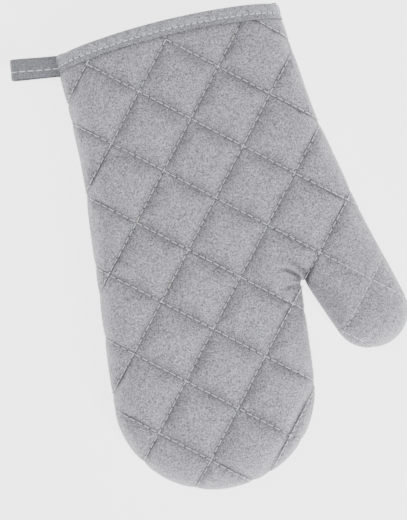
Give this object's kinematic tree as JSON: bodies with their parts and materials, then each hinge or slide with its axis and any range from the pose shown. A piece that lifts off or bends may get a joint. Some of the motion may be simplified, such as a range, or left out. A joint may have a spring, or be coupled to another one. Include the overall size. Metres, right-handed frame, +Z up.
{
  "type": "oven mitt",
  "caption": "Quilted oven mitt with a bound cuff, a side hanging loop, and padded pockets for the fingers and thumb.",
  "frame": {"origin": "middle of the mitt's box in plan, on the surface that it lies on", "axes": "+Y from the fingertips towards the cuff, +X towards the thumb, +Z up from the back panel through the palm panel"},
  "size_m": [0.2192, 0.306, 0.028],
  "materials": {
    "silver_cloth": "silver-coated woven cotton, faintly metallic, roughness about 0.55",
    "binding_cloth": "silver-coated woven cotton strip, folded, slightly bluer than the panels",
    "loop_tape": "folded strip of the same coated cotton, bluish grey",
    "wadding": "needled cotton wadding, matte",
    "lining_cloth": "plain woven unbleached cotton, matte",
    "seam_edge": "raw edges of the layers sewn together and overlocked, matte",
    "sewing_thread": "spun polyester thread, soft sheen"
  },
  "bodies": {
    "hand": {"hand_front_shell": "silver_cloth", "hand_back_shell": "silver_cloth", "hand_front_wadding": "wadding", "hand_back_wadding": "wadding", "hand_front_lining": "lining_cloth", "hand_back_lining": "lining_cloth", "hand_front_quilting_thread": "sewing_thread", "hand_back_quilting_thread": "sewing_thread", "hand_seam_allowance": "seam_edge", "hand_seam_thread": "sewing_thread", "cuff_binding": "binding_cloth", "binding_thread": "sewing_thread"},
    "fingers": {"fingers_front_shell": "silver_cloth", "fingers_back_shell": "silver_cloth", "fingers_front_wadding": "wadding", "fingers_back_wadding": "wadding", "fingers_front_lining": "lining_cloth", "fingers_back_lining": "lining_cloth", "fingers_front_quilting_thread": "sewing_thread", "fingers_back_quilting_thread": "sewing_thread", "fingers_seam_allowance": "seam_edge", "fingers_seam_thread": "sewing_thread"},
    "thumb": {"thumb_front_shell": "silver_cloth", "thumb_back_shell": "silver_cloth", "thumb_front_wadding": "wadding", "thumb_back_wadding": "wadding", "thumb_front_lining": "lining_cloth", "thumb_back_lining": "lining_cloth", "thumb_front_quilting_thread": "sewing_thread", "thumb_back_quilting_thread": "sewing_thread", "thumb_seam_allowance": "seam_edge", "thumb_seam_thread": "sewing_thread"},
    "loop": {"hanging_loop": "loop_tape", "loop_thread": "sewing_thread"}
  },
  "joints": [
    {"name": "finger_curl", "type": "hinge", "parent": "hand", "child": "fingers", "pos_m": [-0.02315, -0.063, 0.028], "axis": [-1, 0, 0], "range_deg": [0, 70], "stiffness_Nm_per_rad": 0.03},
    {"name": "thumb_fold", "type": "hinge", "parent": "hand", "child": "thumb", "pos_m": [0.0589, -0.04002, 0.028], "axis": [-0.66, -0.7513, 0], "range_deg": [0, 65], "stiffness_Nm_per_rad": 0.015},
    {"name": "loop_swing", "type": "hinge", "parent": "hand", "child": "loop", "pos_m": [-0.078, 0.1414, 0.011], "axis": [0.1461, 0.9893, 0], "range_deg": [-60, 90], "stiffness_Nm_per_rad": 0.001}
  ]
}
